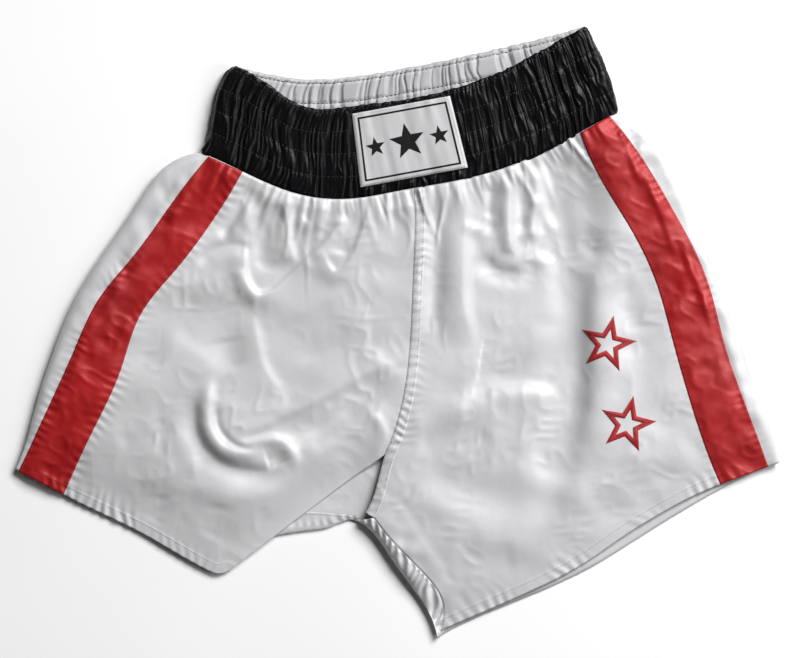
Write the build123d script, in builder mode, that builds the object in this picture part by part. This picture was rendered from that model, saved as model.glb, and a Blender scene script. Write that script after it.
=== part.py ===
"""Boxing shorts, laid flat on a table with the front side up.

+X runs across the shorts and +Y towards the waist. Right and left are the wearer's, so the right leg is
at -X. The cloth is drawn as thin flat sheets at two main levels. The back lies on the table and the front
lies above it, and both are joined round the outer and inner edges, so the waist and both legs stay open.
All sizes are in millimetres.
"""

import os
from math import cos, radians, sin

from build123d import *

# Thicknesses. Each sheet stands for one ply of cloth with its creases.
PLY = 1.0
EDGE = 1.5  # thickness of the turned edge where the cloth folds from back to front
GAP = 0.3  # between turned edges that lie one inside another
THREAD_WIDTH = 0.8
THREAD_HEIGHT = 0.4
PATCH = 0.8  # stripes and embroidery stand this far above the cloth

# Levels of the undersides of the sheets, from the table up.
BACK = 0.0
FRONT = 16.0
TUCKED = FRONT - 4.0  # the layer that comes out below the pleat on the right leg
ON_TOP = FRONT + PLY

# Waistband. Four elastic tapes run in channels between the outer shell and the lining.
CHANNELS = 4
HEADER = 0.05  # share of the band's height above the highest channel
PITCH = (1 - HEADER) / CHANNELS
TAPE_LOW = 0.065  # the tape's edges, as shares of the band's height above its channel's lower edge
TAPE_HIGH = 0.2325
SEAM_SHARE = 0.055  # how far the panels' upper edges reach up into the band
PAST = 12.0  # how far a strip runs out past the ends of the band before it is trimmed
HEM_DEPTH = 12.0
HEM_STITCH = 10.0  # from the hem's edge to its stitching
FELL_WIDTH = 10.0  # width of the felled seam down the middle of the front
FELL_HEIGHT = 0.6  # how far it stands above the cloth
STITCH_INSET = 2.0
STRIPE_WIDTH = 50.0

# Waistband outline. Points with the same number lie on one crosswise line of the band.
FRONT_TOP = [
    (-172, 281), (-140, 264), (-95, 237), (-45, 239), (5, 245),
    (56, 256), (105, 273), (152, 297), (199, 323),
]
FRONT_BOTTOM = [
    (-207, 190), (-160, 168), (-105, 146), (-50, 141), (5, 150),
    (62, 160), (120, 176), (180, 204), (233, 233),
]
BACK_TOP = [
    (-172, 281), (-140, 273), (-95, 267), (-45, 270), (5, 278),
    (56, 288), (105, 299), (152, 310), (199, 323),
]
BACK_BOTTOM = [
    (-207, 190), (-160, 178), (-105, 172), (-50, 172), (5, 182),
    (62, 192), (120, 202), (180, 217), (233, 233),
]
RIGHT_END = [(-172, 281), (-184, 268), (-193, 240), (-207, 190)]
LEFT_END = [(199, 323), (211, 298), (224, 266), (233, 233)]
ENDS = (RIGHT_END, LEFT_END)

# Outer edges of the legs, and the two edges of each side stripe, from the waist down to the hem.
RIGHT_FOLD = [
    (-207, 190), (-236, 182), (-253, 169), (-277, 135), (-312, 84),
    (-343, 33), (-364, -18), (-381, -69), (-395, -120), (-405, -146),
]
RIGHT_STRIPE_OUTER = [
    (-200, 186), (-240, 135), (-280, 80), (-317, 34), (-342, -18), (-371, -82), (-402, -148),
]
RIGHT_STRIPE_INNER = [
    (-163, 171), (-194, 120), (-236, 64), (-272, 18), (-293, -41), (-322, -104), (-354, -173),
]
LEFT_FOLD = [
    (233, 233), (253, 224), (278, 198), (304, 147), (324, 97),
    (344, 46), (363, -5), (380, -56), (398, -107), (406, -139),
]
LEFT_STRIPE_OUTER = [
    (225, 229), (253, 194), (291, 132), (328, 57), (348, -16), (375, -92), (394, -143),
]
LEFT_STRIPE_INNER = [
    (194, 211), (207, 178), (245, 113), (272, 59), (289, 2), (313, -82), (343, -162),
]

# Seams in the middle and along the insides of the legs, and the hems.
FRONT_RISE = [(28, 153), (29, 110), (27, 59), (23, -21), (16, -72), (2, -120)]
FRONT_RISE_LOW = [(2, -120), (-7, -145), (-14, -172), (-25, -197)]
BACK_RISE = [(12, 183), (14, 100), (8, 0), (-5, -100), (-42, -201)]
RIGHT_FRONT_HEM = [(-354, -173), (-320, -190), (-269, -215), (-233, -236), (-200, -254)]
RIGHT_BACK_HEM = [(-402, -148), (-354, -169), (-269, -210), (-205, -240)]
LEFT_FRONT_HEM = [
    (343, -162), (305, -179), (276, -195), (239, -218), (203, -243), (138, -277), (90, -298), (46, -317),
]
LEFT_BACK_HEM = [
    (394, -143), (342, -168), (274, -208), (206, -250), (172, -267), (104, -295), (43, -324),
]
PLEAT_FOLD = [(-180, -254), (-132, -217), (-80, -178), (-30, -141), (2, -120)]
PLEAT_INSIDE = [(-201, -226), (-148, -195), (-91, -163), (-35, -135), (2, -120)]
RIGHT_INSEAM = [(-25, -197), (-64, -193), (-100, -191), (-160, -203)]
RIGHT_INNER_FOLD = [(-42, -201), (-55, -200), (-71, -207), (-93, -211), (-132, -217), (-205, -240)]
LEFT_INSEAM = [(-25, -197), (-9, -218), (13, -241), (33, -262), (47, -284), (49, -303), (46, -317)]
LEFT_INNER_FOLD = [(-42, -201), (-25, -214), (-6, -241), (13, -267), (33, -297), (43, -324)]

# Label on the front of the waistband, corners in order round it, and the leg motifs.
LABEL = [(-48, 231), (56, 250), (75, 174), (-39, 153)]
BORDER_INSET = 0.05  # of the label's width
BORDER_WIDTH = 2.0
LABEL_TILT = 12.0
EMBLEM_STARS = [(0.19, 11.0), (0.5, 20.0), (0.81, 11.0)]  # place across the label, and radius
STAR_WAIST = 0.42  # radius of a star's inner corners over that of its points
MOTIF_RADIUS = 31.0
MOTIF_STROKE = 15.0  # measured along a point of the star
MOTIF_TILT = -12.0
MOTIF_CENTRES = {"upper": (223, -13), "lower": (244, -98)}


def between(first, second, share):
    """Points part of the way from one row of points to another row of the same length."""
    return [
        (a[0] + share * (b[0] - a[0]), a[1] + share * (b[1] - a[1]))
        for a, b in zip(first, second, strict=True)
    ]


def moved(points, dx, dy):
    """The points moved sideways."""
    return [(x + dx, y + dy) for x, y in points]


def curve(points):
    """A smooth line through the points, or a straight one through two."""
    return Line(*points) if len(points) == 2 else Spline(*points)


def region(level, *edges):
    """The flat area inside edges that follow one another, at a level."""
    with BuildSketch(Plane.XY.offset(level)) as flat:
        with BuildLine():
            for points in edges:
                curve(points)
        make_face()
    return flat.sketch


def line_of(level, points, width):
    """A flat line of a constant width along a curve, at a level."""
    with BuildSketch(Plane.XY.offset(level)) as flat:
        with BuildLine():
            curve(points)
        trace(line_width=width)
    return flat.sketch


def piece(level, height, area, cut=(), keep=()):
    """Adds a sheet to the part being built: an area, less some areas, within others."""
    with BuildSketch(Plane.XY.offset(level)) as flat:
        add(area(level))
        for other in cut:
            add(other(level), mode=Mode.SUBTRACT)
        for other in keep:
            add(other(level), mode=Mode.INTERSECT)
    extrude(flat.sketch, amount=height)


def area(*edges):
    """An outline that can be drawn at any level."""
    return lambda level: region(level, *edges)


def edge_of(points, width):
    """The area within a width of a curve, that can be drawn at any level."""
    return lambda level: line_of(level, points, 2 * width)


def band(top, bottom):
    """The whole of the waistband's face."""
    return area(top, LEFT_END, bottom[::-1], RIGHT_END[::-1])


def channel_of(top, bottom, low, high):
    """A strip along the band between two shares of its height, running out past both ends."""
    upper, lower = between(bottom, top, high), between(bottom, top, low)
    for row in (upper, lower):
        row[0] = (row[0][0] - PAST, row[0][1])
        row[-1] = (row[-1][0] + PAST, row[-1][1])
    return area(upper, [upper[-1], lower[-1]], lower[::-1], [lower[0], upper[0]])


def save(built, name):
    """Labels a finished sub-part and writes it."""
    built.part.label = name
    export_step(built.part, f"parts/{name}.step")


def middle(first, second):
    """The side seam, halfway between the edges of a stripe."""
    return between(first, second, 0.5)


os.makedirs("parts", exist_ok=True)

front_band = band(FRONT_TOP, FRONT_BOTTOM)
back_band = band(BACK_TOP, BACK_BOTTOM)
front_seam = channel_of(FRONT_TOP, FRONT_BOTTOM, -SEAM_SHARE, SEAM_SHARE)
back_seam = channel_of(BACK_TOP, BACK_BOTTOM, -SEAM_SHARE, SEAM_SHARE)
FRONT_RISE_LAP = moved(FRONT_RISE, -FELL_WIDTH, 0)
past_shell = [edge_of(end, EDGE + GAP) for end in ENDS]
right_side = middle(RIGHT_STRIPE_OUTER, RIGHT_STRIPE_INNER)
left_side = middle(LEFT_STRIPE_OUTER, LEFT_STRIPE_INNER)


# Waistband: shell, elastic tapes and lining are flattened loops, one inside another.
def loop(order, front=front_band, back=back_band):
    """Adds a flattened loop: a front sheet, a back sheet and the turn at each end.

    order counts the loops from the outside. The outer ones are cut away at the ends.
    """
    low, high = BACK + order * PLY, FRONT - order * PLY
    inset = order * (EDGE + GAP)
    cut = [edge_of(end, inset) for end in ENDS] if order else []
    piece(high, PLY, front, cut=cut, keep=[front_band])
    piece(low, PLY, back, cut=cut, keep=[back_band])
    for end in ENDS:
        turn = [front_band, back_band, edge_of(end, inset + EDGE)]
        piece(low, high + PLY - low, front, cut=cut, keep=turn)


with BuildPart() as waistband_shell:
    loop(0)
save(waistband_shell, "waistband_shell")

for channel in range(CHANNELS):
    low, high = channel * PITCH + TAPE_LOW, channel * PITCH + TAPE_HIGH
    front_tape = channel_of(FRONT_TOP, FRONT_BOTTOM, low, high)
    back_tape = channel_of(BACK_TOP, BACK_BOTTOM, low, high)
    with BuildPart() as waist_elastic:
        loop(1, front_tape, back_tape)
    save(waist_elastic, f"waist_elastic_{channel + 1}")

with BuildPart() as waistband_lining:
    loop(2)
save(waistband_lining, "waistband_lining")

# Front panels, each with its hem turned up inside and its upper edge in the waistband.
right_front_top = [right_side[0], (-150, 176), (-105, 156), (-50, 151), (5, 160), FRONT_RISE[0]]
right_hem_corner = [RIGHT_FRONT_HEM[-1], (-190, -257), PLEAT_FOLD[0]]
right_front = area(
    right_front_top, FRONT_RISE, PLEAT_FOLD[::-1], right_hem_corner, RIGHT_FRONT_HEM[::-1],
    [RIGHT_FRONT_HEM[0], right_side[-1]], right_side[::-1],
)
with BuildPart() as front_right_panel:
    piece(FRONT, PLY, right_front, cut=[front_band])
    piece(FRONT - PLY, PLY, right_front, keep=[front_seam])
    piece(FRONT - PLY, PLY, right_front, keep=[edge_of(RIGHT_FRONT_HEM, HEM_DEPTH)])
    # The pleat: the cloth turns under along one fold and back out along another.
    pleat = area(PLEAT_FOLD, PLEAT_INSIDE[::-1], [PLEAT_INSIDE[0], PLEAT_FOLD[0]])
    piece(FRONT - 2 * PLY, 2 * PLY, pleat, keep=[edge_of(PLEAT_FOLD, EDGE)])
    piece(FRONT - 2 * PLY, PLY, pleat)
    piece(TUCKED, 2 * PLY, pleat, keep=[edge_of(PLEAT_INSIDE, EDGE)])
    tucked = area(PLEAT_INSIDE, FRONT_RISE_LOW, RIGHT_INSEAM, [RIGHT_INSEAM[-1], PLEAT_INSIDE[0]])
    piece(TUCKED, PLY, tucked)
save(front_right_panel, "front_right_panel")

left_front_top = [FRONT_RISE[0], (62, 170), (120, 186), (177, 213), left_side[0]]
left_front = area(
    left_front_top, left_side, [left_side[-1], LEFT_FRONT_HEM[0]], LEFT_FRONT_HEM,
    LEFT_INSEAM[::-1], FRONT_RISE_LOW[::-1], FRONT_RISE[::-1],
)
with BuildPart() as front_left_panel:
    piece(FRONT, PLY, left_front, cut=[front_band])
    piece(FRONT - PLY, PLY, left_front, keep=[front_seam])
    piece(FRONT - PLY, PLY, left_front, keep=[edge_of(LEFT_FRONT_HEM, HEM_DEPTH)])
    # The felled seam laps over the right panel.
    fell = area(
        moved(FRONT_RISE, STITCH_INSET, 0), [moved(FRONT_RISE, STITCH_INSET, 0)[-1], FRONT_RISE_LAP[-1]],
        FRONT_RISE_LAP[::-1], [FRONT_RISE_LAP[0], moved(FRONT_RISE, STITCH_INSET, 0)[0]],
    )
    piece(ON_TOP, FELL_HEIGHT, fell, cut=[front_band])
save(front_left_panel, "front_left_panel")

# Back panels. Each wraps round the outer and inner edges of its leg, up to the side seam and the inseam.
right_back_top = [RIGHT_FOLD[0], (-160, 186), (-105, 181), (-50, 181), BACK_RISE[0]]
right_back = area(
    right_back_top, BACK_RISE, RIGHT_INNER_FOLD, RIGHT_BACK_HEM[::-1],
    [RIGHT_BACK_HEM[0], RIGHT_FOLD[-1]], RIGHT_FOLD[::-1],
)
right_wrap = area(
    RIGHT_FOLD, [RIGHT_FOLD[-1], right_side[-1]], right_side[::-1], [right_side[0], RIGHT_FOLD[0]]
)
right_inner_wrap = area(
    RIGHT_INNER_FOLD, [RIGHT_INNER_FOLD[-1], RIGHT_INSEAM[-1]], RIGHT_INSEAM[::-1],
    [RIGHT_INSEAM[0], RIGHT_INNER_FOLD[0]],
)
with BuildPart() as back_right_panel:
    piece(BACK, PLY, right_back, cut=[back_band])
    piece(BACK + PLY, PLY, right_back, keep=[back_seam], cut=past_shell)
    hem_past_corner = [*RIGHT_BACK_HEM, (-190, -247)]
    piece(BACK + PLY, PLY, right_back, keep=[edge_of(hem_past_corner, HEM_DEPTH)])
    piece(BACK, FRONT + PLY - BACK, right_wrap, cut=[front_band, back_band], keep=[edge_of(RIGHT_FOLD, EDGE)])
    piece(FRONT, PLY, right_wrap, cut=[front_band])
    clear = [edge_of(PLEAT_INSIDE, EDGE + GAP)]
    piece(BACK, TUCKED + PLY - BACK, right_inner_wrap, cut=clear, keep=[edge_of(RIGHT_INNER_FOLD, EDGE)])
    piece(TUCKED, PLY, right_inner_wrap, cut=clear)
save(back_right_panel, "back_right_panel")

left_back_top = [BACK_RISE[0], (62, 201), (120, 211), (177, 226), LEFT_FOLD[0]]
left_back = area(
    left_back_top, LEFT_FOLD, [LEFT_FOLD[-1], LEFT_BACK_HEM[0]], LEFT_BACK_HEM,
    LEFT_INNER_FOLD[::-1], BACK_RISE[::-1],
)
left_wrap = area(
    LEFT_FOLD, [LEFT_FOLD[-1], left_side[-1]], left_side[::-1], [left_side[0], LEFT_FOLD[0]]
)
left_inner_wrap = area(
    LEFT_INNER_FOLD, [LEFT_INNER_FOLD[-1], LEFT_INSEAM[-1]], LEFT_INSEAM[::-1],
    [LEFT_INSEAM[0], LEFT_INNER_FOLD[0]],
)
with BuildPart() as back_left_panel:
    piece(BACK, PLY, left_back, cut=[back_band])
    piece(BACK + PLY, PLY, left_back, keep=[back_seam], cut=past_shell)
    piece(BACK + PLY, PLY, left_back, keep=[edge_of(LEFT_BACK_HEM, HEM_DEPTH)])
    piece(BACK, FRONT + PLY - BACK, left_wrap, cut=[front_band, back_band], keep=[edge_of(LEFT_FOLD, EDGE)])
    piece(FRONT, PLY, left_wrap, cut=[front_band])
    piece(BACK, FRONT + PLY - BACK, left_inner_wrap, keep=[edge_of(LEFT_INNER_FOLD, EDGE)])
    piece(FRONT, PLY, left_inner_wrap)
save(back_left_panel, "back_left_panel")

# Side stripes, sewn over the side seams.
STRIPES = {
    "right": (RIGHT_STRIPE_OUTER, RIGHT_STRIPE_INNER),
    "left": (LEFT_STRIPE_OUTER, LEFT_STRIPE_INNER),
}
stripe_faces = {
    side: area(outer, [outer[-1], inner[-1]], inner[::-1], [inner[0], outer[0]])
    for side, (outer, inner) in STRIPES.items()
}
for side, (outer, inner) in STRIPES.items():
    with BuildPart() as stripe:
        piece(ON_TOP, PATCH, stripe_faces[side], cut=[front_band])
    save(stripe, f"{side}_side_stripe")

    with BuildPart() as stripe_stitching:
        for edge, other in ((outer, inner), (inner, outer)):
            row = between(edge, other, STITCH_INSET / STRIPE_WIDTH)
            piece(ON_TOP + PATCH, THREAD_HEIGHT, edge_of(row, THREAD_WIDTH / 2), cut=[front_band])
    save(stripe_stitching, f"{side}_stripe_stitching")


# Label, with a plain border and a four-pointed star between two bars.
def on_label(across, up):
    """A point on the label, from shares of its width and height."""
    top = between([LABEL[0]], [LABEL[1]], across)
    bottom = between([LABEL[3]], [LABEL[2]], across)
    return between(bottom, top, up)[0]


def label_area(low_x, high_x, low_y, high_y):
    """A four-sided area on the label, from shares of its width and height."""
    corners = [
        on_label(low_x, low_y), on_label(high_x, low_y), on_label(high_x, high_y), on_label(low_x, high_y),
    ]
    return area(*([corners[i], corners[(i + 1) % 4]] for i in range(4)))


def star(centre, radius, tilt=0.0):
    """A five-pointed star, that can be drawn at any level."""

    def at(level):
        corners = []
        for i in range(10):
            turn = radians(tilt + 36 * i)
            reach = radius if i % 2 == 0 else radius * STAR_WAIST
            corners.append((centre[0] - reach * sin(turn), centre[1] + reach * cos(turn)))
        with BuildSketch(Plane.XY.offset(level)) as flat:
            with BuildLine():
                Polyline(*corners, close=True)
            make_face()
        return flat.sketch

    return at


with BuildPart() as waist_label:
    piece(ON_TOP, PLY, label_area(0, 1, 0, 1))
save(waist_label, "waist_label")

with BuildPart() as label_border:
    outer_x, outer_y = BORDER_INSET, 1.3 * BORDER_INSET
    inner_x, inner_y = outer_x + BORDER_WIDTH / 105, outer_y + BORDER_WIDTH / 78
    piece(
        ON_TOP + PLY,
        THREAD_HEIGHT,
        label_area(outer_x, 1 - outer_x, outer_y, 1 - outer_y),
        cut=[label_area(inner_x, 1 - inner_x, inner_y, 1 - inner_y)],
    )
save(label_border, "label_border")

with BuildPart() as label_emblem:
    for across, radius in EMBLEM_STARS:
        piece(ON_TOP + PLY, THREAD_HEIGHT, star(on_label(across, 0.5), radius, LABEL_TILT))
save(label_emblem, "label_emblem")

with BuildPart() as label_stitching:
    corners = [on_label(x, y) for x, y in ((0.02, 0.03), (0.98, 0.03), (0.98, 0.97), (0.02, 0.97))]
    for i in range(4):
        row = between([corners[i], corners[(i + 1) % 4]], [on_label(0.5, 0.5)] * 2, 0.01)
        piece(ON_TOP + PLY, THREAD_HEIGHT, edge_of(row, THREAD_WIDTH / 2))
save(label_stitching, "label_stitching")

# Embroidered stars on the left leg.
for place, centre in MOTIF_CENTRES.items():
    with BuildPart() as motif:
        hole = star(centre, MOTIF_RADIUS - MOTIF_STROKE, MOTIF_TILT)
        piece(ON_TOP, PATCH, star(centre, MOTIF_RADIUS, MOTIF_TILT), cut=[hole])
    save(motif, f"{place}_leg_motif")


# Stitching, one thread along each row.
def threads(name, rows, cut=()):
    """Writes a node of threads, from rows of (level, points), less some areas."""
    with BuildPart() as stitching:
        for level, points in rows:
            piece(level, THREAD_HEIGHT, edge_of(points, THREAD_WIDTH / 2), cut=cut)
    save(stitching, name)


channel_rows = [(k + 1) * PITCH for k in range(CHANNELS)]
threads(
    "waistband_front_stitching",
    [(ON_TOP, between(FRONT_BOTTOM, FRONT_TOP, share)) for share in channel_rows],
    [label_area(0, 1, 0, 1)] + [edge_of(end, 5 * EDGE) for end in ENDS],
)
threads(
    "waistband_back_stitching",
    [(BACK + 3 * PLY, between(BACK_BOTTOM, BACK_TOP, share)) for share in channel_rows],
    [edge_of(end, 5 * EDGE) for end in ENDS],
)
threads(
    "right_hem_stitching",
    [
        (ON_TOP, moved(RIGHT_FRONT_HEM, 0.47 * HEM_STITCH, 0.88 * HEM_STITCH)),
        (BACK + 2 * PLY, moved(RIGHT_BACK_HEM, 0.47 * HEM_STITCH, 0.88 * HEM_STITCH)),
    ],
    [stripe_faces["right"], edge_of(RIGHT_FOLD, 4 * EDGE)],
)
threads(
    "left_hem_stitching",
    [
        (ON_TOP, moved(LEFT_FRONT_HEM, -0.46 * HEM_STITCH, 0.89 * HEM_STITCH)),
        (BACK + 2 * PLY, moved(LEFT_BACK_HEM, -0.46 * HEM_STITCH, 0.89 * HEM_STITCH)),
    ],
    [stripe_faces["left"], edge_of(LEFT_INNER_FOLD, 4 * EDGE), edge_of(LEFT_INSEAM, EDGE)],
)
threads(
    "front_rise_stitching",
    [
        (ON_TOP + FELL_HEIGHT, moved(FRONT_RISE, -inset, 0))
        for inset in (STITCH_INSET, FELL_WIDTH - STITCH_INSET)
    ],
    [front_band],
)
threads("back_rise_stitching", [(BACK + PLY, moved(BACK_RISE[1:-1], -STITCH_INSET, 0))])
threads("right_inseam_stitching", [(TUCKED + PLY, moved(RIGHT_INSEAM[:-1], 0, STITCH_INSET))])
threads("left_inseam_stitching", [(ON_TOP, moved(LEFT_INSEAM[1:-2], STITCH_INSET, STITCH_INSET))])
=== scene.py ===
"""Boxing shorts in white satin, laid flat with the front up.

The CAD frame gives every outline. The cloth is built over those outlines as fine grids, with its folds,
gathers and puckers as heights. Plan sizes and heights are in millimetres until an object is made.
Right and left are the wearer's, so the right leg is at -X.
"""

import math

import bmesh
import bpy
import numpy as np
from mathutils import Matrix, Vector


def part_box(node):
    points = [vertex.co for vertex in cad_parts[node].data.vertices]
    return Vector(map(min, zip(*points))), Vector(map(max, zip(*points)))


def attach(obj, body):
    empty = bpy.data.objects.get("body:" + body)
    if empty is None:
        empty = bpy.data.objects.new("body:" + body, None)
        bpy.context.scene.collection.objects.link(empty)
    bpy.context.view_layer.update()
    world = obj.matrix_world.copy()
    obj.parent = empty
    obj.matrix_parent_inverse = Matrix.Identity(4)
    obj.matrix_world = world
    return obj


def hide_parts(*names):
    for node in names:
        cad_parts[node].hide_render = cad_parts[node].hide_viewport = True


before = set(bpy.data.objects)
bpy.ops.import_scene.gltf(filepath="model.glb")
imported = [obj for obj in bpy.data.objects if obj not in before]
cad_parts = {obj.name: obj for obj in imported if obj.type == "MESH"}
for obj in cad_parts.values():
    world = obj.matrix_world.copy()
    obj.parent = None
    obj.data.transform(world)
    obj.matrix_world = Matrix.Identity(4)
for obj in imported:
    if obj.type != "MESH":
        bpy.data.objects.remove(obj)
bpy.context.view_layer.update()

MM = 0.001
CLOTH = 0.35  # thickness of the satin, mm
PATCH_CLOTH = 0.3  # thickness of the stripes and the label
TAPE_CLOTH = 0.5  # thickness of the elastic

# Levels in the pile of cloth, in mm above the floor.
BACK_LEVEL = 1.4
MIDDLE = 7.5  # where the cloth turns from back to front at the outer edges
FRONT_LEVEL = 14.5
HEM_LEVEL = 4.4
PLEAT_LEVEL = 7.0
TUCKED_LEVEL = 4.6
TUCKED_EDGE = 3.0
FELL_WIDTH = 10.0
HEM_STITCH = 10.0
TURN = 11.0  # width over which an outer edge rounds off
BAND_TOP = 16.3
LABEL_LEVEL = 18.2
LOWEST_FRONT = BACK_LEVEL + 1.6
FOLD_LIMIT = 11.0  # the listed folds and the gathers level off towards this height or depth
RIGHT_FOLDS, LEFT_FOLDS = 0.5, 0.8  # shares of their listed heights that the two legs' folds have
BAND_WIDTH, BAND_HEIGHT = 402, 100
LABEL_WIDTH, LABEL_HEIGHT = 106, 79
SEAM_THREAD = (3.2, 2.3, 0.22)  # pitch, length and half thickness of the seams' stitches
STRIPE_THREAD = (3.2, 2.3, 0.2)
STAR_GRID, STRAND_PITCH = 0.2, 0.75  # of the embroidered stars
CAMERA_HEIGHT, VIEW_WIDTH = 6.0, 0.848  # metres

# Corners of the outlines, in mm in the plan. Each picks the nearest point of a CAD outline.
WAIST_RIGHT_TOP, WAIST_LEFT_TOP = (-172, 281), (199, 323)
WAIST_RIGHT_LOW, WAIST_LEFT_LOW = (-207, 190), (233, 233)
RIGHT_SIDE_TOP, LEFT_SIDE_TOP = (-180, 178), (210, 220)
RIGHT_SIDE_HEM, LEFT_SIDE_HEM = (-378, -160), (368, -152)
RIGHT_FOLD_HEM, LEFT_FOLD_HEM = (-405, -146), (406, -139)
RISE_TOP, RISE_PLEAT, CROTCH = (28, 153), (2, -120), (-25, -197)
BACK_RISE_TOP, BACK_CROTCH = (12, 183), (-42, -201)
PLEAT_TIP = (-180, -254)
RIGHT_BACK_HEM_IN, RIGHT_TUCK_HEM = (-205, -240), (-160, -203)
PLEAT_INSIDE_HEM = (-201, -226)
LEFT_INSEAM_HEM, LEFT_BACK_HEM_IN = (46, -317), (43, -324)


# ---------------------------------------------------------------- lines and outlines


def resample(line, shares):
    """Points of a line at shares of its length."""
    line = np.asarray(line, float)
    along = np.concatenate([[0], np.cumsum(np.linalg.norm(np.diff(line, axis=0), axis=1))])
    at = np.asarray(shares) * along[-1]
    return np.stack([np.interp(at, along, line[:, k]) for k in range(line.shape[1])], 1)


def length(line):
    """Length of a line of points."""
    return float(np.linalg.norm(np.diff(np.asarray(line, float), axis=0), axis=1).sum())


def through(points, step=2.0):
    """A smooth line through a few points, as points about a step apart."""
    p = np.asarray(points, float)
    padded = np.vstack([2 * p[0] - p[1], p, 2 * p[-1] - p[-2]])
    rows = []
    for a, b, c, d in zip(padded, padded[1:], padded[2:], padded[3:]):
        count = max(2, int(np.linalg.norm(c - b) / step))
        t = np.linspace(0, 1, count, endpoint=False)[:, None]
        cubic = 3 * b - a - 3 * c + d
        rows.append(0.5 * (2 * b + (c - a) * t + (2 * a - 5 * b + 4 * c - d) * t**2 + cubic * t**3))
    return np.vstack([*rows, p[-1:]])


def flat_loops(node, level, facing=1):
    """Outlines of a CAD node's flat faces at a level, longest first, with the face on their left."""
    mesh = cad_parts[node].data
    key = [(round(v.co.x / MM, 2), round(v.co.y / MM, 2)) for v in mesh.vertices]
    edges = set()
    for face in mesh.polygons:
        if face.normal.z * facing > 0.99 and abs(face.center.z / MM - level) < 0.05:
            corners = [key[i] for i in face.vertices][::facing]
            edges.update(zip(corners, corners[1:] + corners[:1]))
    after = {a: b for a, b in edges if (b, a) not in edges and a != b}
    loops = []
    while after:
        a, b = after.popitem()
        loop = [a]
        while b in after:
            loop.append(b)
            b = after.pop(b)
        loops.append(np.array(loop))
    return sorted(loops, key=length, reverse=True)


def top_loops(node):
    """Outlines of a CAD node's highest flat face."""
    return flat_loops(node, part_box(node)[1][2] / MM)


def part_of(loop, start, end):
    """The part of a loop from the point nearest one corner to the point nearest another."""
    first = int(np.argmin(np.linalg.norm(loop - start, axis=1)))
    last = int(np.argmin(np.linalg.norm(loop - end, axis=1)))
    turned = np.roll(loop, -first, axis=0)
    return turned[: (last - first) % len(loop) + 1]


def corners_of(loop):
    """The corners of a loop of straight sides, without the points between them."""
    before, after = loop - np.roll(loop, 1, axis=0), np.roll(loop, -1, axis=0) - loop
    turn = before[:, 0] * after[:, 1] - before[:, 1] * after[:, 0]
    size = np.linalg.norm(before, axis=1) * np.linalg.norm(after, axis=1)
    return loop[np.abs(turn) > 0.05 * np.maximum(size, 1e-9)]


def inside(points, corners):
    """How far points are inside a convex outline, and below 0 outside it."""
    distance = np.full(points.shape[:-1], np.inf)
    for a, b in zip(corners, np.roll(corners, -1, axis=0)):
        run = (b - a) / np.linalg.norm(b - a)
        away = points - a
        distance = np.minimum(distance, run[0] * away[..., 1] - run[1] * away[..., 0])
    return distance


def moved(line, by):
    """A line moved to its left by a distance."""
    along = np.gradient(line, axis=0)
    along /= np.linalg.norm(along, axis=1)[:, None]
    return line + by * np.stack([-along[:, 1], along[:, 0]], 1)


def patch(left, right, top, bottom, across, down):
    """A grid over a four-sided outline. left and right run down, top and bottom run across."""
    u, v = across[None, :, None], down[:, None, None]
    sides = (1 - u) * resample(left, down)[:, None] + u * resample(right, down)[:, None]
    ends = (1 - v) * resample(top, across)[None] + v * resample(bottom, across)[None]
    upper = (1 - u) * top[0] + u * top[-1]
    lower = (1 - u) * bottom[0] + u * bottom[-1]
    return sides + ends - (1 - v) * upper - v * lower


def even(count):
    """Shares from 0 to 1, evenly spaced."""
    return np.linspace(0, 1, count)


def fine_start(width, turn, count, rest):
    """Shares from 0 to 1, close together near 0, where cloth of a width turns over an edge."""
    curl = (1 - np.cos(np.linspace(0, math.pi / 2, count))) * turn / width
    return np.concatenate([curl, np.linspace(curl[-1], 1, rest + 1)[1:]])


def fine_ends(width, turn, count, rest):
    """Shares from 0 to 1, close together near both ends."""
    curl = (1 - np.cos(np.linspace(0, math.pi / 2, count))) * turn / width
    return np.concatenate([curl, np.linspace(curl[-1], 1 - curl[-1], rest)[1:-1], 1 - curl[::-1]])


def smooth(x):
    """A smooth step from 0 to 1."""
    x = np.clip(x, 0, 1)
    return x * x * (3 - 2 * x)


def noise(x, y, seed):
    """Smooth random numbers from -1 to 1, about one bump per unit of x and y."""
    table = np.random.default_rng(seed).uniform(-1, 1, (97, 97))
    i, j = np.floor(x).astype(int), np.floor(y).astype(int)
    u, v = smooth(x - i), smooth(y - j)
    i0, i1, j0, j1 = i % 97, (i + 1) % 97, j % 97, (j + 1) % 97
    low = table[i0, j0] * (1 - u) + table[i1, j0] * u
    high = table[i0, j1] * (1 - u) + table[i1, j1] * u
    return low * (1 - v) + high * v


def measure(points, line):
    """Distance of each point to a line, which side it is on (+1 is left) and how far along it is."""
    nearest = np.full(len(points), np.inf)
    side = np.zeros(len(points))
    along = np.zeros(len(points))
    travelled = 0.0
    for a, b in zip(line, line[1:]):
        run = b - a
        size = math.hypot(*run)
        if size < 1e-6:
            continue
        away = points - a
        share = np.clip(away @ run / size**2, 0, 1)
        distance = np.linalg.norm(away - share[:, None] * run, axis=1)
        closer = distance < nearest
        nearest[closer] = distance[closer]
        side[closer] = np.sign(run[0] * away[closer, 1] - run[1] * away[closer, 0])
        along[closer] = travelled + share[closer] * size
        travelled += size
    return nearest, side, along


# ---------------------------------------------------------------- outlines from the frame

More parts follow.
